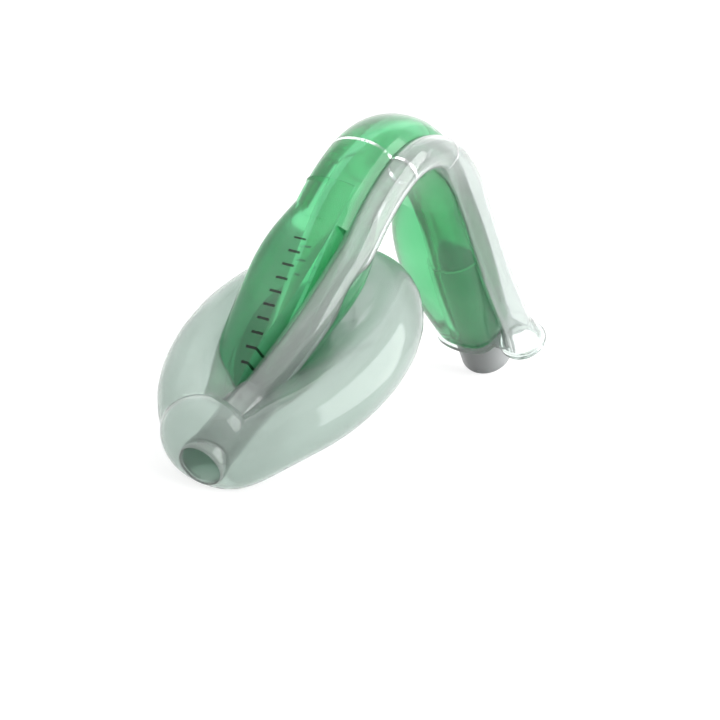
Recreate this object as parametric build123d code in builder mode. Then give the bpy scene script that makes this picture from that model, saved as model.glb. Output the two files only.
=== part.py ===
from build123d import *
from math import asin, atan2, cos, degrees, hypot, radians, sin, tan
import os

# A laryngeal mask airway with a drain tube, resting on the nose of its cuff and on the rim of its
# connector. +X runs from the nose to the connector, the drain tube is on the -Y side, +Z is up.
# Places on the device are first given on the cuff's own plane: x along it from the drain port,
# z square to it on the dorsal side.

# Stance
port_x = -86.0  # the drain port's centre in the row's frame
port_height = 6.6  # leaves the soft nose pressed a little flat on the surface
middle_y = 0.0

# Cuff: a hollow ring, closed by a thin web
cuff_length = 90.6
cuff_width = 61.9
nose_radius = 8.2  # breadth of the ring's tube, halved
side_radius = 9.5
heel_radius = 8.9
tube_fullness = 1.05  # the ring's tube is this much deeper than it is broad
egg = 0.04  # moves the widest place towards the heel
cuff_lift = 1.0  # of the ring's tube over the port's centre
cuff_arch = 3.1  # its rise at mid length
heel_rise = 3.6
nose_drop = 5.4  # the nose hangs under the port
nose_turn = 49.0  # degrees of the ring that share in the drop
cuff_wall = 1.0
web_low = -0.8
web_thickness = 2.4
ring_stations = 11

# Drain channel in the nose
port_radius = 5.6
port_depth = 4.0
port_front = 3.0  # the opening is cleared this far in front of its centre
port_taper = 2.5
port_wall = 1.3
channel_rise = 4.2  # degrees above the cuff's plane
channel_length = 27.0
channel_step = 13.0  # where the drain tube ends inside the channel
sleeve_wall = 0.9

# Airway tube: backplate, curved tube and bite block in one moulding
tube_y = 1.7  # the curve's plane
pad_start = (24.4, 1.1)
rise_angle = 28.1
rise_run = 66.6  # from the pad's tip to the crest's first corner
crest_turns = (22.4, 48.4, 28.4)
crest_runs = (21.4, 24.9)
crest_radii = (50.0, 28.0, 52.0)
leg_run = 76.7
tube_half = (11.4, 9.9, 9.5, 8.0)  # left, right, dorsal, ventral
bite_top = (16.4, 10.8, 9.6, 9.4)
bite_end = (11.2, 8.4, 9.6, 9.4)
bite_lead = 18.0  # from the crest's end to where the bite block is full
oval_fullness = 0.62
bite_fullness = 0.72
pad_stations = (0.0, 4.0, 13.0, 28.0, 44.0, 56.0, 64.0)
pad_left = (12.4, 13.0, 14.5, 15.5, 15.5, 12.0, 11.4)
pad_right = (4.0, 6.6, 9.2, 13.2, 15.6, 13.0, 9.9)
pad_dorsal = (3.0, 3.9, 7.0, 8.8, 9.2, 9.2, 9.5)
pad_ventral = (3.0, 3.6, 6.0, 7.6, 8.2, 8.2, 8.0)
tube_overlap = 12.0  # how far the plain tube runs on inside the pad
leg_overlap = 2.0  # and inside the bite block
keel_centre = 45.0
keel_half = (18.5, 9.6)
keel_height = 30.0
keel_sink = 2.0  # the keel ends this far under the tube's axis

# Lumen of the airway tube
lumen_y = 1.4
lumen_radius = 5.0
lumen_drop = 38.0  # its last run dips into the bowl at this angle
lumen_lead = 3.2  # the dip starts this far before the crest's first corner
lumen_dip_run = 60.0
lumen_radii = (40.0, 28.0, 52.0)

# Drain tube, in a groove beside the airway tube
drain_radius = 4.8
drain_wall = 0.9
channel_bend = (25.0, 0.0, 1.9)
pad_bend = (46.6, -6.9, 15.7)
drain_bends = (24.0, 60.0, 60.0)
groove_station = 48.0  # from here the drain tube follows the airway
groove_y = -9.2
groove_lift = 1.5  # its axis above the airway's axis
leg_bend_run = 8.0  # from the crest's end to where it drifts to the side
leg_bend = 60.0
leg_lift = -0.4
splay_run = 30.0  # the last stretch leans away from the bite block
splay_y = -11.3
splay_bend = 60.0
mouth_y = -13.9
groove_height = 20.0  # the groove is open on the dorsal side of the pad
flare_length = 9.0
flare_grow = 1.1
bead_radius = 1.2

# Connector, and the clear flange between it and the bite block
stem_radius = 5.8
stem_length = 35.0
bore_radius = 4.7
cone_base = 7.85
cone_end = 7.65
cone_length = 14.6
cone_edge = 0.8
flange_thickness = 1.6
drain_reach = 0.3  # the drain's mouth stands this far beyond the flange
flange_overhang = 0.9
bridge_radius = 5.4
fit_gap = 0.1


def step(point, angle, run):
    """A point on the cuff's plane, moved by a run at an angle in degrees."""
    return (point[0] + run * cos(radians(angle)), point[1] + run * sin(radians(angle)))


# Corners of the airway's axis, on the curve's plane
headings = [rise_angle]
for turn in crest_turns:
    headings.append(headings[-1] - turn)
corners = [step(pad_start, rise_angle, rise_run)]
corners.append(step(corners[0], headings[1], crest_runs[0]))
corners.append(step(corners[1], headings[2], crest_runs[1]))
leg_start = step(corners[2], headings[3], crest_radii[2] * tan(radians(crest_turns[2] / 2)))
leg_end = step(corners[2], headings[3], leg_run)
leg_length = hypot(leg_end[0] - leg_start[0], leg_end[1] - leg_start[1])

# The device leans until the connector's rim comes down to the surface
cone_tip = step(leg_end, headings[3], flange_thickness + cone_length)
rim = step(step(cone_tip, headings[3], -cone_edge), headings[3] - 90, cone_end - cone_edge)
reach = hypot(*rim)
rest_tilt = -degrees(asin((port_height - cone_edge) / reach) + atan2(rim[1], rim[0]))
mask_plane = Plane(
    origin=(port_x, middle_y, port_height),
    x_dir=(cos(radians(rest_tilt)), 0, sin(radians(rest_tilt))),
    z_dir=(-sin(radians(rest_tilt)), 0, cos(radians(rest_tilt))),
)


def on_mask(x, y, z):
    return mask_plane.from_local_coords(Vector(x, y, z))


def beside(point, y):
    """A point of the curve's plane carried to its place, at a distance from the middle."""
    return on_mask(point[0], y, point[1])


def heading(angle):
    return beside(step((0, 0), angle, 1), 0) - on_mask(0, 0, 0)


def cross_plane(centre, direction):
    """Square to a run: x to the left, y to the dorsal side."""
    return Plane(origin=centre, x_dir=(0, 1, 0), z_dir=direction)


def lifted(index):
    """The drain tube's corner outside one of the airway's."""
    half_turn = crest_turns[index] / 2
    lift = groove_lift / cos(radians(half_turn))
    return beside(step(corners[index], headings[index] - half_turn + 90, lift), groove_y)


def draw_oval(left, right, dorsal, ventral, fullness=oval_fullness):
    """An egg-like face drawn as four curves, one a quarter."""
    with BuildLine() as outline:
        for side, top in ((left, dorsal), (-right, dorsal), (-right, -ventral), (left, -ventral)):
            Bezier((side, 0), (side, fullness * top), (fullness * side, top), (0, top))
    make_face(outline.edges())


def ring_point(turn):
    """Centre of the ring's tube; turn is 0 at the nose and 180 at the heel."""
    forward = cos(radians(turn))
    along = nose_radius + ring_half_length * (1 - forward)
    across = ring_half_width * sin(radians(turn)) * (1 - egg * forward)
    share = along / cuff_length
    rise = cuff_lift + heel_rise * share + 4 * (cuff_arch - heel_rise / 2) * share * (1 - share)
    if abs(turn) < nose_turn:
        rise -= nose_drop * cos(radians(90 * turn / nose_turn)) ** 2
    return on_mask(along, across, rise)


def ring_radius(turn):
    end = nose_radius if turn < 90 else heel_radius
    return end + (side_radius - end) * sin(radians(turn)) ** 2


def ring_plane(turn):
    ahead = ring_point(turn + 0.5) - ring_point(turn - 0.5)
    return Plane(origin=ring_point(turn), x_dir=ahead.cross(mask_plane.z_dir), z_dir=ahead)


def build_ring(inset):
    with BuildPart() as ring:
        for i in range(ring_stations):
            turn = 180 * i / (ring_stations - 1)
            with BuildSketch(ring_plane(turn)):
                Ellipse(ring_radius(turn) - inset, ring_radius(turn) * tube_fullness - inset)
        loft()
        mirror(about=Plane.XZ)
        split(bisect_by=Plane.XY.offset(inset), keep=Keep.TOP)
    return ring.part


def build_pad(grow):
    """The boat-shaped backplate, with the keel that closes the bowl under it."""
    rise = Plane(origin=beside(pad_start, tube_y), x_dir=(0, 1, 0), z_dir=heading(rise_angle + 90))
    with BuildPart() as keel:
        with BuildSketch(mask_plane.offset(web_low)):
            with Locations((keel_centre, tube_y)):
                Ellipse(keel_half[0] + grow, keel_half[1] + grow)
        extrude(amount=keel_height)
        split(bisect_by=rise.offset(-keel_sink), keep=Keep.BOTTOM)
    with BuildPart() as pad:
        for i, station in enumerate(pad_stations):
            centre = beside(step(pad_start, rise_angle, station), tube_y)
            half = (pad_left[i], pad_right[i], pad_dorsal[i], pad_ventral[i])
            with BuildSketch(cross_plane(centre, heading(rise_angle))):
                draw_oval(*[size + grow for size in half])
        loft()
        add(keel.part)
    return pad.part


ring_half_length = (cuff_length - nose_radius - heel_radius) / 2
ring_half_width = cuff_width / 2 - side_radius
channel_plane = cross_plane(on_mask(0, middle_y, 0), heading(channel_rise))
leg_direction = heading(headings[3])
leg_end_plane = cross_plane(beside(leg_end, tube_y), leg_direction)
drain_bore = drain_radius - drain_wall
drain_groove = step(step(pad_start, rise_angle, groove_station), rise_angle + 90, groove_lift)
drain_lean = step(step(leg_start, headings[3], leg_bend_run), headings[3] + 90, groove_lift)
drain_leg = step(leg_start, headings[3] + 90, leg_lift)
drain_end = step(drain_leg, headings[3], leg_length + flange_thickness + drain_reach)
splay_start = step(drain_end, headings[3], -splay_run)
drain_route = [
    on_mask(*[size * channel_step / channel_bend[0] for size in channel_bend]),
    on_mask(*channel_bend),
    on_mask(*pad_bend),
    beside(drain_groove, groove_y),
    *[lifted(i) for i in range(len(corners))],
    beside(drain_lean, groove_y),
    beside(splay_start, splay_y),
    beside(drain_end, mouth_y),
]
drain_radii = (*drain_bends, *[radius + groove_lift for radius in crest_radii], leg_bend, splay_bend)
drain_heading = drain_route[-1] - drain_route[-2]
flare_plane = Plane(origin=drain_route[-1], x_dir=(0, 1, 0), z_dir=drain_heading)
flare_section = Plane(origin=drain_route[-1], x_dir=drain_heading, z_dir=flare_plane.x_dir)


def sweep_drain(radius):
    with BuildPart() as rod:
        with BuildLine():
            route = FilletPolyline(*drain_route, radius=drain_radii)
        with BuildSketch(Plane(origin=drain_route[0], z_dir=drain_route[1] - drain_route[0])):
            Circle(radius)
        sweep(path=route)
    return rod.part


# Mask cuff
with BuildPart() as mask_cuff:
    add(build_ring(0))
    with BuildSketch(mask_plane.offset(web_low)):
        with Locations((nose_radius + ring_half_length, 0)):
            Ellipse(ring_half_length, ring_half_width)
    extrude(amount=web_thickness)
    add(build_ring(cuff_wall), mode=Mode.SUBTRACT)
    with BuildSketch(channel_plane):
        Circle(port_radius + port_wall)
    extrude(amount=port_depth)
    with BuildSketch(channel_plane):
        Circle(drain_radius + fit_gap + sleeve_wall)
    extrude(amount=channel_length)
    with BuildSketch(channel_plane.offset(-port_front)):
        Circle(port_radius)
    extrude(amount=port_front + port_depth, mode=Mode.SUBTRACT)
    with BuildSketch(channel_plane.offset(port_depth)):
        Circle(port_radius)
    with BuildSketch(channel_plane.offset(port_depth + port_taper)):
        Circle(drain_bore)
    loft(mode=Mode.SUBTRACT)
    with BuildSketch(channel_plane):
        Circle(drain_bore)
    extrude(amount=channel_length, mode=Mode.SUBTRACT)
    add(sweep_drain(drain_radius + fit_gap), mode=Mode.SUBTRACT)
    add(build_pad(fit_gap), mode=Mode.SUBTRACT)
mask_cuff.part.label = "mask_cuff"

# Airway tube: backplate, grooved tube and bite block, joined before the lumen is cut
with BuildPart() as open_groove:
    with BuildLine():
        groove_path = FilletPolyline(*drain_route[:6], radius=drain_radii[:4])
    with BuildSketch(cross_plane(drain_route[0], drain_route[1] - drain_route[0])):
        Circle(drain_radius + fit_gap)
        Rectangle(2 * (drain_radius + fit_gap), groove_height, align=(Align.CENTER, Align.MIN))
    sweep(path=groove_path)

with BuildPart() as backplate:
    add(build_pad(0))
    add(open_groove.part, mode=Mode.SUBTRACT)
    with BuildSketch(channel_plane):
        Circle(drain_radius + sleeve_wall + 2 * fit_gap)
    extrude(amount=channel_length + fit_gap, mode=Mode.SUBTRACT)

with BuildPart() as bite_block:
    for run, half in ((0, tube_half), (bite_lead, bite_top), (leg_length, bite_end)):
        with BuildSketch(cross_plane(beside(step(leg_start, headings[3], run), tube_y), leg_direction)):
            draw_oval(*half, bite_fullness if run else oval_fullness)
    loft()
    add(sweep_drain(drain_radius + fit_gap), mode=Mode.SUBTRACT)
    with BuildSketch(flare_plane.offset(-flare_length)):
        Circle(drain_radius + fit_gap)
    with BuildSketch(flare_plane):
        Circle(drain_radius + flare_grow * flare_length / (flare_length - bead_radius) + fit_gap)
    loft(mode=Mode.SUBTRACT)

with BuildPart() as curved_tube:
    tube_start = step(pad_start, rise_angle, pad_stations[-1] - tube_overlap)
    with BuildLine():
        tube_path = FilletPolyline(
            beside(tube_start, tube_y),
            *[beside(corner, tube_y) for corner in corners],
            beside(step(leg_start, headings[3], leg_overlap), tube_y),
            radius=crest_radii,
        )
    with BuildSketch(cross_plane(beside(tube_start, tube_y), heading(rise_angle))):
        draw_oval(*tube_half)
        with Locations((groove_y - tube_y, groove_lift)):
            Circle(drain_radius + fit_gap, mode=Mode.SUBTRACT)
    sweep(path=tube_path)

with BuildPart() as airway_tube:
    add(curved_tube.part)
    add(backplate.part)
    add(bite_block.part)
    dip_corner = step(corners[0], headings[1], -lumen_lead)
    dip_end = step(dip_corner, lumen_drop, -lumen_dip_run)
    with BuildLine():
        lumen_path = FilletPolyline(
            beside(dip_end, lumen_y),
            beside(dip_corner, lumen_y),
            *[beside(corner, lumen_y) for corner in corners[1:]],
            beside(leg_end, lumen_y),
            radius=lumen_radii,
        )
    with BuildSketch(cross_plane(beside(dip_end, lumen_y), heading(lumen_drop))):
        Circle(lumen_radius)
    sweep(path=lumen_path, mode=Mode.SUBTRACT)
    with BuildSketch(cross_plane(beside(leg_end, lumen_y), leg_direction)):
        Circle(stem_radius + fit_gap)
    extrude(amount=-stem_length - fit_gap, mode=Mode.SUBTRACT)
airway_tube.part.label = "airway_tube"

# Drain tube with the clear flange that its moulding carries at the bite block's end
with BuildPart() as drain_tube:
    add(sweep_drain(drain_radius))
    with BuildSketch(flare_section):
        with BuildLine():
            mouth = drain_radius + flare_grow
            skirt = Line((-flare_length, drain_bore), (-flare_length, drain_radius))
            cone = Line(skirt @ 1, (-bead_radius, mouth))
            bead = ThreePointArc(cone @ 1, (0, mouth + bead_radius), (bead_radius, mouth))
            lip = Line(bead @ 1, (bead_radius, drain_bore))
            Line(lip @ 1, skirt @ 0)
        make_face()
    revolve(axis=Axis(drain_route[-1], drain_heading))
    with BuildSketch(leg_end_plane):
        draw_oval(*[size + flange_overhang for size in bite_end], bite_fullness)
    extrude(amount=flange_thickness)
    with BuildSketch(leg_end_plane) as bridge:
        with Locations((-bite_end[1] + bridge_radius, 0)):
            Circle(bridge_radius)
        with Locations((mouth_y - tube_y, leg_lift)):
            Circle(bridge_radius)
        make_hull()
    extrude(amount=flange_thickness)
    with BuildSketch(cross_plane(beside(leg_end, lumen_y), leg_direction)):
        Circle(stem_radius + fit_gap)
    extrude(amount=flange_thickness, mode=Mode.SUBTRACT)
    add(sweep_drain(drain_bore), mode=Mode.SUBTRACT)
    with BuildSketch(flare_plane.offset(-flare_length)):
        Circle(drain_bore)
    with BuildSketch(flare_plane.offset(2 * bead_radius)):
        Circle(drain_bore + flare_grow)
    loft(mode=Mode.SUBTRACT)
drain_tube.part.label = "drain_tube"

# Connector: a tapered male cone on a long stem
with BuildPart() as connector:
    cone_plane = cross_plane(beside(leg_end, lumen_y), leg_direction)
    with BuildSketch(cone_plane.offset(-stem_length)):
        Circle(stem_radius)
    extrude(amount=stem_length + flange_thickness)
    with BuildSketch(cone_plane.offset(flange_thickness)):
        Circle(cone_base)
    with BuildSketch(cone_plane.offset(flange_thickness + cone_length)):
        Circle(cone_end)
    loft()
    circles = connector.edges().filter_by(GeomType.CIRCLE)
    fillet(circles.sort_by(Axis(cone_plane.origin, leg_direction))[-1], cone_edge)
    with BuildSketch(cone_plane.offset(-stem_length)):
        Circle(bore_radius)
    extrude(amount=stem_length + flange_thickness + cone_length, mode=Mode.SUBTRACT)
connector.part.label = "connector"

os.makedirs("parts", exist_ok=True)
export_step(mask_cuff.part, "parts/mask_cuff.step")
export_step(airway_tube.part, "parts/airway_tube.step")
export_step(drain_tube.part, "parts/drain_tube.step")
export_step(connector.part, "parts/connector.step")
print("rest tilt", round(rest_tilt, 3))
print("drain bends", [round(radius, 1) for radius in drain_radii])
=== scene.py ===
import bpy
from math import atan2, cos, degrees, radians, sin
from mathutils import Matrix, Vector


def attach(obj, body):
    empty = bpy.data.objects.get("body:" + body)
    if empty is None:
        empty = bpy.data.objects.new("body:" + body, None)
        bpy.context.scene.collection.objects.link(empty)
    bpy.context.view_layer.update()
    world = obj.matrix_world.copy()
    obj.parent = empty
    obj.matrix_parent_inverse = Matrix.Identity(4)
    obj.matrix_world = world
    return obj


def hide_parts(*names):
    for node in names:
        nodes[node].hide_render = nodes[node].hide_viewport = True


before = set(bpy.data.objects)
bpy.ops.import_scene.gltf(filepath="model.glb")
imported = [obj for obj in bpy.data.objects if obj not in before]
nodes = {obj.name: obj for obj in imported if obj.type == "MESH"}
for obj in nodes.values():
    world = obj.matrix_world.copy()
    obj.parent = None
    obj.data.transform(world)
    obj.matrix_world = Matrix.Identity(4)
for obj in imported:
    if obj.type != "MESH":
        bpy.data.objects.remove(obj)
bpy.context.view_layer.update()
print("frame loaded")

view = {
    "place": (-0.66319, -0.32754, 0.22713), "turn": (1.29262, -0.14025, -1.06878),
    "lens": 138.71, "near": 0.01, "far": 20,
}
bpy.ops.object.camera_add(location=view["place"], rotation=view["turn"])
camera = bpy.context.object
camera.data.lens = view["lens"]
camera.data.clip_start, camera.data.clip_end = view["near"], view["far"]
bpy.context.scene.camera = camera
bpy.context.scene.view_settings.view_transform = "Standard"
print("camera set")

lean = radians(24.08)  # how the cuff's own plane leans on the surface
portPlace = (-86, 6.6)  # X and Z of the drain port's centre, in millimetres


def onMask(x, y, z):  # millimetres on the cuff's plane, from the drain port's centre
    ahead = portPlace[0] + x * cos(lean) - z * sin(lean)
    up = portPlace[1] + x * sin(lean) + z * cos(lean)
    return Vector((ahead, y, up)) / 1000


class Wire:  # a socket that takes part in Python's sums
    def __init__(self, tree, socket=None):
        self.tree, self.socket = tree, socket

    def node(self, kind, settings, inputs, output=0):
        made = self.tree.nodes.new(kind)
        for name, value in settings.items():
            setattr(made, name, value)
        for name, value in inputs.items():
            if isinstance(value, Wire):
                self.tree.links.new(value.socket, made.inputs[name])
            else:
                made.inputs[name].default_value = value
        return Wire(self.tree, made.outputs[output])

    def maths(self, operation, first, second=0):
        return self.node("ShaderNodeMath", {"operation": operation}, {0: first, 1: second})

    def __add__(self, other):
        return self.maths("ADD", self, other)

    def __sub__(self, other):
        return self.maths("SUBTRACT", self, other)

    def __rsub__(self, other):
        return self.maths("SUBTRACT", other, self)

    def __mul__(self, other):
        return self.maths("MULTIPLY", self, other)

    def __abs__(self):
        return self.maths("ABSOLUTE", self)

    __radd__, __rmul__ = __add__, __mul__


def startMaterial(name):
    material = bpy.data.materials.new(name)
    material.use_nodes = True
    material.node_tree.nodes.clear()
    wire = Wire(material.node_tree)
    place = wire.node("ShaderNodeTexCoord", {}, {}, "Object")
    return material, wire, place


def finishMaterial(wire, links):
    out = wire.tree.nodes.new("ShaderNodeOutputMaterial")
    for name, value in links.items():
        wire.tree.links.new(value.socket, out.inputs[name])


def noise(wire, place, scale, detail):
    return wire.node("ShaderNodeTexNoise", {}, {"Vector": place, "Scale": scale, "Detail": detail})


def mixed(wire, share, first, second):
    return wire.node("ShaderNodeMix", {"data_type": "RGBA"}, {0: share, 6: first, 7: second}, 2)


def smoothStep(wire, value, low, high):
    return wire.node("ShaderNodeMapRange", {"interpolation_type": "SMOOTHSTEP"},
                     {"Value": value, "From Min": low, "From Max": high})


pad = {  # the backplate's own line, in millimetres, with its ticks and its darker end
    "start": (24.4, 0, 1.1), "rise": radians(28.1),
    "first": 9.0, "last": 45.5, "runFade": 0.1, "pitch": 4.0, "thick": 0.17, "thickFade": 0.03,
    "side": 3.4, "half": 1.7, "halfFade": 0.2, "topFade": (1.0, 1.5), "ink": (0.005, 0.012, 0.008, 1),
    "endFade": (5.0, 0.5), "endStart": (-1.5, -0.5), "endColour": (0.0, 0.24, 0.07, 1),
}


def padPaint(wire, place, colour):
    fromStart = wire.node("ShaderNodeVectorMath", {"operation": "SUBTRACT"},
                          {0: place, 1: onMask(*pad["start"])})

    def measure(axis):  # millimetres along the axis
        return wire.node("ShaderNodeVectorMath", {"operation": "DOT_PRODUCT"},
                         {0: fromStart, 1: axis}, 1) * 1000

    rise = lean + pad["rise"]
    along = measure(Vector((cos(rise), 0, sin(rise))))
    over = measure(Vector((-sin(rise), 0, cos(rise))))
    across = measure(Vector((0, 1, 0)))
    phase = wire.maths("FRACT", (along - pad["first"]) * (1 / pad["pitch"]))
    stripe = smoothStep(wire, phase, pad["thick"] + pad["thickFade"], pad["thick"])
    width = smoothStep(wire, abs(across - pad["side"]), pad["half"] + pad["halfFade"], pad["half"])
    begun = smoothStep(wire, along, pad["first"] - pad["runFade"], pad["first"])
    ended = smoothStep(wire, along, pad["last"] + pad["runFade"], pad["last"])
    tick = stripe * width * begun * ended * smoothStep(wire, over, *pad["topFade"])
    end = smoothStep(wire, along, *pad["endFade"]) * smoothStep(wire, along, *pad["endStart"])
    return mixed(wire, tick, mixed(wire, end, colour, pad["endColour"]), pad["ink"])


surface = {
    "cloudDetail": 3.0, "grainDetail": 2.0, "cloudHeight": 2, "bumpDepth": 0.0004, "coatRoughness": 0.04,
}


def moulded(name, look, paint=None):
    material, wire, place = startMaterial(name)
    cloud = noise(wire, place, look["cloudScale"], surface["cloudDetail"])
    grain = noise(wire, place, look["grainScale"], surface["grainDetail"])
    colour = mixed(wire, cloud, (*look["deep"], 1), (*look["pale"], 1))
    if paint:
        colour = paint(wire, place, colour)
    bump = wire.node("ShaderNodeBump", {}, {
        "Height": grain + cloud * surface["cloudHeight"],
        "Strength": look["bump"],
        "Distance": surface["bumpDepth"],
    })
    shader = wire.node("ShaderNodeBsdfPrincipled", {}, {
        "Base Color": colour,
        "Roughness": look["roughness"] + grain * look["roughnessSpread"],
        "Normal": bump,
        "IOR": look["ior"],
        "Transmission Weight": look["clearness"],
        "Coat Weight": look["coat"],
        "Coat Roughness": surface["coatRoughness"],
    })
    links = {"Surface": shader}
    if look["density"]:  # the plastic is darker where it is thicker
        links["Volume"] = wire.node("ShaderNodeVolumeAbsorption", {},
                                    {"Color": (*look["tint"], 1), "Density": look["density"]})
    finishMaterial(wire, links)
    return material


cuffLook = {
    "deep": (0.56, 0.64, 0.60), "pale": (0.73, 0.77, 0.75), "cloudScale": 22, "grainScale": 300, "bump": 0.0,
    "roughness": 0.12, "roughnessSpread": 0.04, "ior": 1.38, "clearness": 0.80, "coat": 0.12,
    "density": 130.0, "tint": (0.08, 0.38, 0.23),
}
portLook = {
    "deep": (0.66, 0.73, 0.69), "pale": (0.80, 0.84, 0.82), "cloudScale": 60, "grainScale": 300, "bump": 0.0,
    "roughness": 0.10, "roughnessSpread": 0.04, "ior": 1.40, "clearness": 0.80, "coat": 0.2,
    "density": 90.0, "tint": (0.10, 0.42, 0.26),
}
seamLook = {
    "deep": (0.10, 0.16, 0.13), "pale": (0.16, 0.22, 0.18), "cloudScale": 22, "grainScale": 300, "bump": 0.01,
    "roughness": 0.3, "roughnessSpread": 0.06, "ior": 1.38, "clearness": 0.2, "coat": 0.0, "density": 0,
}
greenLook = {
    "deep": (0.08, 0.52, 0.24), "pale": (0.40, 0.80, 0.54), "cloudScale": 60, "grainScale": 300, "bump": 0.01,
    "roughness": 0.13, "roughnessSpread": 0.06, "ior": 1.40, "clearness": 0.76, "coat": 0.10,
    "density": 50.0, "tint": (0.02, 0.74, 0.38),
}
drainLook = {
    "deep": (0.74, 0.77, 0.76), "pale": (0.84, 0.86, 0.85), "cloudScale": 25, "grainScale": 300, "bump": 0.0,
    "roughness": 0.08, "roughnessSpread": 0.05, "ior": 1.42, "clearness": 0.86, "coat": 0.3,
    "density": 110.0, "tint": (0.26, 0.46, 0.38),
}
connectorLook = {
    "deep": (0.46, 0.48, 0.48), "pale": (0.49, 0.51, 0.51), "cloudScale": 10, "grainScale": 300, "bump": 0.0,
    "roughness": 0.26, "roughnessSpread": 0.02, "ior": 1.45, "clearness": 0.12, "coat": 0.0, "density": 0,
}
finishes = {
    "mask_cuff": moulded("cuffFilm", cuffLook),
    "airway_tube": moulded("greenMoulding", greenLook, padPaint),
    "drain_tube": moulded("drainMoulding", drainLook),
    "connector": moulded("connectorPlastic", connectorLook),
}
for name, material in finishes.items():
    for slot in nodes[name].material_slots:
        slot.material = material
print("moulded finishes on")

meshing = {"doubles": 0.00001, "smoothAngle": radians(50)}


def startPiece(name):
    piece = bpy.context.object
    piece.name = piece.data.name = name
    return piece


def finishPiece(piece, material):  # every new piece rides the root body, and the model's own cuff is hidden
    bpy.ops.object.transform_apply(location=True, rotation=True, scale=True)
    piece.data.materials.clear()
    piece.data.materials.append(material)
    bpy.ops.object.shade_smooth_by_angle(angle=meshing["smoothAngle"])
    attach(piece, "root")
    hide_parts("mask_cuff")


def closeUp():  # joins what meets, turns the faces outwards and leaves edit mode
    bpy.ops.mesh.select_all(action="SELECT")
    bpy.ops.mesh.remove_doubles(threshold=meshing["doubles"])
    bpy.ops.mesh.normals_make_consistent(inside=False)
    bpy.ops.object.mode_set(mode="OBJECT")


def selectOnly(piece):
    bpy.ops.object.select_all(action="DESELECT")
    piece.select_set(True)
    bpy.context.view_layer.objects.active = piece


def applyModifier(piece, kind, settings):
    change = piece.modifiers.new("change", kind)
    for name, value in settings.items():
        setattr(change, name, value)
    bpy.ops.object.modifier_apply(modifier="change")


def combine(piece, tool, operation):
    selectOnly(piece)
    applyModifier(piece, "BOOLEAN", {"operation": operation, "solver": "EXACT", "object": tool})
    bpy.data.objects.remove(tool)


def turned(name, at, along, steps, sides=48):  # a turned wall: each step is a distance along and a radius
    turn = along.to_track_quat("Z", "Y").to_euler()
    start, radius = steps[0]
    bpy.ops.mesh.primitive_circle_add(vertices=sides, radius=radius / 1000,
                                      location=at + along * start / 1000, rotation=turn)
    piece = startPiece(name)
    bpy.ops.object.mode_set(mode="EDIT")
    bpy.ops.mesh.select_all(action="SELECT")
    for (before, wide), (after, newWide) in zip(steps, steps[1:]):
        bpy.ops.mesh.extrude_edges_move(TRANSFORM_OT_translate={"value": along * (after - before) / 1000})
        bpy.ops.transform.resize(value=(newWide / wide,) * 3, center_override=at + along * after / 1000)
    closeUp()
    return piece


def startCurve(cuts):  # the points are placed afterwards
    piece = bpy.context.object
    bpy.ops.object.mode_set(mode="EDIT")
    bpy.ops.curve.select_all(action="SELECT")
    bpy.ops.curve.subdivide(number_cuts=cuts)
    bpy.ops.object.mode_set(mode="OBJECT")
    points = piece.data.splines[0].bezier_points
    for point in points:
        point.handle_left_type = point.handle_right_type = "AUTO"
        point.tilt = 0
    return piece, points


# The ring is measured in millimetres on the cuff's plane, by its turn: 0 at the nose, 180 at the heel
cuff = {
    "length": 90.6, "width": 61.9, "noseRadius": 8.2, "sideRadius": 9.5, "heelRadius": 8.9, "egg": 0.04,
    "lift": 1.0, "arch": 3.1, "heelRise": 3.6, "noseDrop": 5.4, "noseTurn": 49,
    "points": 24, "bevel": 10, "round": 10, "smoothness": 6, "lookUps": 720, "middle": (46, 0, 4),
    "topAngle": 116, "lowAngle": -120, "rimSpread": 25, "crown": (46, 0, 0.6), "bowl": (46, 0, -2.4),
    "rings": (0.86, 0.68, 0.46, 0.24), "relax": 0.5, "relaxTimes": 8, "film": 0.7,
    "bulb": (9.4, 3.6, 0.2), "bulbHalf": (9.2, 13.4, 12.6), "bulbFaces": (64, 40),
}


def ringCentre(turn):
    side = turn if turn <= 180 else 360 - turn
    forward = cos(radians(turn))
    halfLength = (cuff["length"] - cuff["noseRadius"] - cuff["heelRadius"]) / 2
    along = cuff["noseRadius"] + halfLength * (1 - forward)
    across = (cuff["width"] / 2 - cuff["sideRadius"]) * sin(radians(turn)) * (1 - cuff["egg"] * forward)
    share = along / cuff["length"]
    bow = 4 * (cuff["arch"] - cuff["heelRise"] / 2) * share * (1 - share)
    rise = cuff["lift"] + cuff["heelRise"] * share + bow
    if side < cuff["noseTurn"]:
        rise -= cuff["noseDrop"] * cos(radians(90 * side / cuff["noseTurn"])) ** 2
    return along, across, rise


def ringRadius(turn):
    side = turn if turn <= 180 else 360 - turn
    end = cuff["noseRadius"] if side < 90 else cuff["heelRadius"]
    return end + (cuff["sideRadius"] - end) * sin(radians(turn)) ** 2


centres = [onMask(*ringCentre(360 * i / cuff["lookUps"])) for i in range(cuff["lookUps"])]
dorsal = Vector((-sin(lean), 0, cos(lean)))
middle = onMask(*cuff["middle"])


def ringAngle(place):  # 0 on the outer side, 90 at the top, -90 underneath
    centre = min(centres, key=lambda point: (point - place).length_squared)
    out = centre - middle
    out = (out - dorsal * out.dot(dorsal)).normalized()
    return degrees(atan2((place - centre).dot(dorsal), (place - centre).dot(out)))


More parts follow.
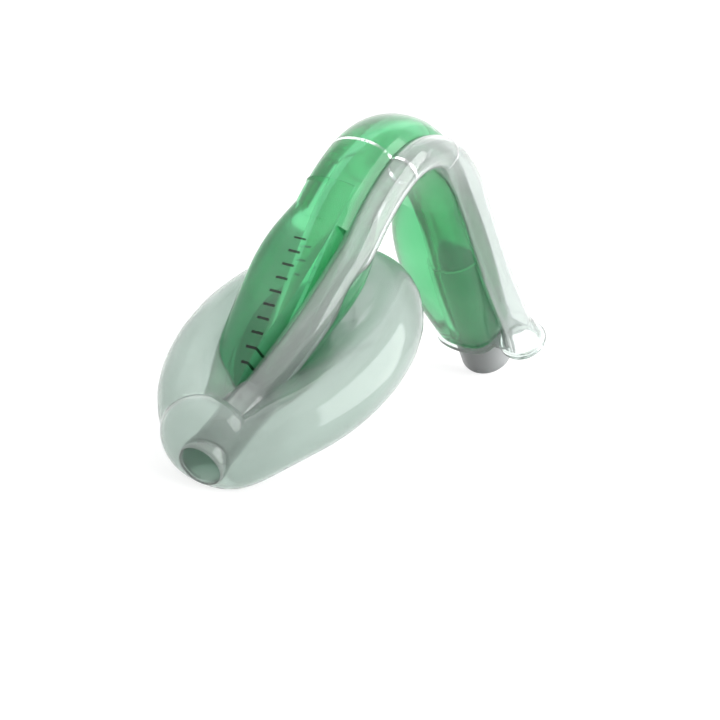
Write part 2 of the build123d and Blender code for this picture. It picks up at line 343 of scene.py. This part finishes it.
def makeRing():
    bpy.ops.curve.primitive_bezier_circle_add()
    ring, points = startCurve(cuff["points"] // 4 - 1)
    for i, point in enumerate(points):
        turn = 360 * i / len(points)
        point.co = onMask(*ringCentre(turn))
        point.radius = ringRadius(turn) / cuff["bevel"]
    ring.data.twist_mode = "Z_UP"
    ring.data.bevel_depth = cuff["bevel"] / 1000
    ring.data.bevel_resolution = cuff["round"]
    ring.data.resolution_u = cuff["smoothness"]
    bpy.ops.object.convert(target="MESH")
    return startPiece("cuff")


def openInside(piece):  # takes the ring's inner side out
    bpy.ops.object.mode_set(mode="EDIT")
    bpy.ops.mesh.select_mode(type="FACE")
    bpy.ops.mesh.select_all(action="DESELECT")
    bpy.ops.object.mode_set(mode="OBJECT")
    for face in piece.data.polygons:
        angle = ringAngle(face.center)
        face.select = angle > cuff["topAngle"] or angle < cuff["lowAngle"]
    bpy.ops.object.mode_set(mode="EDIT")
    bpy.ops.mesh.delete(type="FACE")
    bpy.ops.mesh.select_mode(type="EDGE")


def closeTo(piece, angle, aim):  # draws the rim at this angle in to one place
    bpy.ops.mesh.select_all(action="DESELECT")
    bpy.ops.mesh.select_non_manifold()
    bpy.ops.object.mode_set(mode="OBJECT")
    corners = piece.data.vertices
    for edge in piece.data.edges:
        if edge.select:
            place = (corners[edge.vertices[0]].co + corners[edge.vertices[1]].co) / 2
            edge.select = abs(ringAngle(place) - angle) < cuff["rimSpread"]
    bpy.ops.object.mode_set(mode="EDIT")
    before = 1
    for size in cuff["rings"]:
        bpy.ops.mesh.extrude_edges_move(TRANSFORM_OT_translate={"value": (0, 0, 0)})
        bpy.ops.transform.resize(value=(size / before,) * 3, center_override=onMask(*aim))
        before = size
    bpy.ops.mesh.extrude_edges_move(TRANSFORM_OT_translate={"value": (0, 0, 0)})
    bpy.ops.mesh.merge(type="CENTER")


def makeBulb():
    segments, rings = cuff["bulbFaces"]
    bpy.ops.mesh.primitive_uv_sphere_add(segments=segments, ring_count=rings, radius=0.001,
                                         location=onMask(*cuff["bulb"]), rotation=(0, -lean, 0),
                                         scale=cuff["bulbHalf"])
    bulb = startPiece("noseBulb")
    bpy.ops.object.transform_apply(location=True, rotation=True, scale=True)
    return bulb


def restFlat(piece):  # the soft nose lies flat on the surface
    corners = piece.data.vertices
    for corner in corners:
        corner.select = corner.co.z < 0
    for edge in piece.data.edges:
        edge.select = all(corners[i].select for i in edge.vertices)
    for face in piece.data.polygons:
        face.select = all(corners[i].select for i in face.vertices)
    bpy.ops.object.mode_set(mode="EDIT")
    bpy.ops.mesh.select_mode(type="VERT")
    bpy.ops.transform.resize(value=(1, 1, 0), center_override=(0, 0, 0))
    bpy.ops.object.mode_set(mode="OBJECT")


bpy.ops.object.select_all(action="DESELECT")
cuffPiece = makeRing()
openInside(cuffPiece)
closeTo(cuffPiece, cuff["topAngle"], cuff["crown"])
closeTo(cuffPiece, cuff["lowAngle"], cuff["bowl"])
closeUp()
combine(cuffPiece, makeBulb(), "UNION")
applyModifier(cuffPiece, "SMOOTH", {"factor": cuff["relax"], "iterations": cuff["relaxTimes"]})
restFlat(cuffPiece)
applyModifier(cuffPiece, "SOLIDIFY", {"thickness": cuff["film"] / 1000, "offset": -1})

channel = {  # distances along it and radii, in millimetres
    "lean": radians(4.2),
    "cut": ((-6, 0.01), (-6, 5.75), (24, 5.75), (24, 0.01)),
    "wall": ((0.5, 5.6), (-0.2, 5.7), (-0.45, 6.0), (-0.2, 6.35), (1.2, 6.5), (3.6, 6.5), (5.6, 6.0),
             (27, 5.8), (27, 4.95), (13.2, 4.95), (13.0, 3.9), (6.5, 3.9), (4.0, 5.6), (0.5, 5.6)),
}
portCentre = onMask(0, 0, 0)
channelWay = onMask(cos(channel["lean"]), 0, sin(channel["lean"])) - portCentre
channelWay.normalize()
combine(cuffPiece, turned("portCutter", portCentre, channelWay, channel["cut"]), "DIFFERENCE")
finishPiece(cuffPiece, finishes["mask_cuff"])
print("cuff done")

bpy.ops.object.select_all(action="DESELECT")
port = turned("drainPort", portCentre, channelWay, channel["wall"])
finishPiece(port, moulded("portFilm", portLook))
print("drain port done")

seam = {
    "from": 18, "points": 64, "thick": 0.16, "rise": 0.6, "noseTurn": 60, "round": 2, "smoothness": 4,
}


def seamPlace(turn):  # on the ring's inner side
    along, across, rise = ringCentre(turn)
    height = rise
    if not seam["noseTurn"] < turn < 360 - seam["noseTurn"]:
        height = max(rise, seam["rise"])
    reach = (ringRadius(turn) ** 2 - (height - rise) ** 2) ** 0.5
    before, after = ringCentre(turn - 1), ringCentre(turn + 1)
    inward = Vector((after[1] - before[1], before[0] - after[0])).normalized()
    return onMask(along + inward.x * reach, across + inward.y * reach, height)


def makeSeam():
    bpy.ops.curve.primitive_bezier_curve_add()
    line, points = startCurve(seam["points"] - 2)
    for i, point in enumerate(points):
        point.co = seamPlace(seam["from"] + (360 - 2 * seam["from"]) * i / (seam["points"] - 1))
        point.radius = 1
    line.data.bevel_depth = seam["thick"] / 1000
    line.data.bevel_resolution = seam["round"]
    line.data.resolution_u = seam["smoothness"]
    line.data.use_fill_caps = True
    bpy.ops.object.convert(target="MESH")
    return startPiece("cuffSeam")


bpy.ops.object.select_all(action="DESELECT")
finishPiece(makeSeam(), moulded("seamFilm", seamLook))
print("seam done")

stage = {
    "size": 6.0, "glow": 0.80, "pale": (0.35, 0.35, 0.35, 1), "white": (1, 1, 1, 1),
    "sky": 0.45, "seenSky": 0.55,
}


def seenRays(wire):  # rays that see the white background
    def ray(name):
        return wire.node("ShaderNodeLightPath", {}, {}, name)
    return ray("Is Camera Ray") + ray("Is Glossy Ray") + ray("Is Transmission Ray")


bpy.ops.mesh.primitive_plane_add(size=stage["size"], location=(0, 0, 0))
floor = startPiece("floor")
material, wire, place = startMaterial("floorWhite")
glow = wire.node("ShaderNodeEmission", {},
                 {"Color": stage["white"], "Strength": seenRays(wire) * stage["glow"]})
matt = wire.node("ShaderNodeBsdfDiffuse", {}, {"Color": stage["pale"]})
finishMaterial(wire, {"Surface": wire.node("ShaderNodeAddShader", {}, {0: glow, 1: matt})})
floor.data.materials.append(material)

world = bpy.data.worlds.new("studio")
world.use_nodes = True
world.node_tree.nodes.clear()
bpy.context.scene.world = world
sky = Wire(world.node_tree)
strength = stage["sky"] + seenRays(sky) * stage["seenSky"]
backdrop = sky.node("ShaderNodeBackground", {}, {"Color": stage["white"], "Strength": strength})
out = sky.tree.nodes.new("ShaderNodeOutputWorld")
sky.tree.links.new(backdrop.socket, out.inputs["Surface"])

lamps = {
    "sideLamp": {"place": (0.20, -0.70, 0.45), "size": 0.95, "power": 11.0},
    "topLamp": {"place": (-0.25, 0.15, 0.9), "size": 1.2, "power": 2.5},
    "backLamp": {"place": (0.7, 0.45, 0.5), "size": 0.9, "power": 1.5},
}
lampTarget = Vector((0, 0, 0.03))
for name, lamp in lamps.items():
    aim = (lampTarget - Vector(lamp["place"])).to_track_quat("-Z", "Y").to_euler()
    bpy.ops.object.light_add(type="AREA", location=lamp["place"], rotation=aim)
    bpy.context.object.name = name
    bpy.context.object.data.energy = lamp["power"]
    bpy.context.object.data.size = lamp["size"]
print("stage lit")
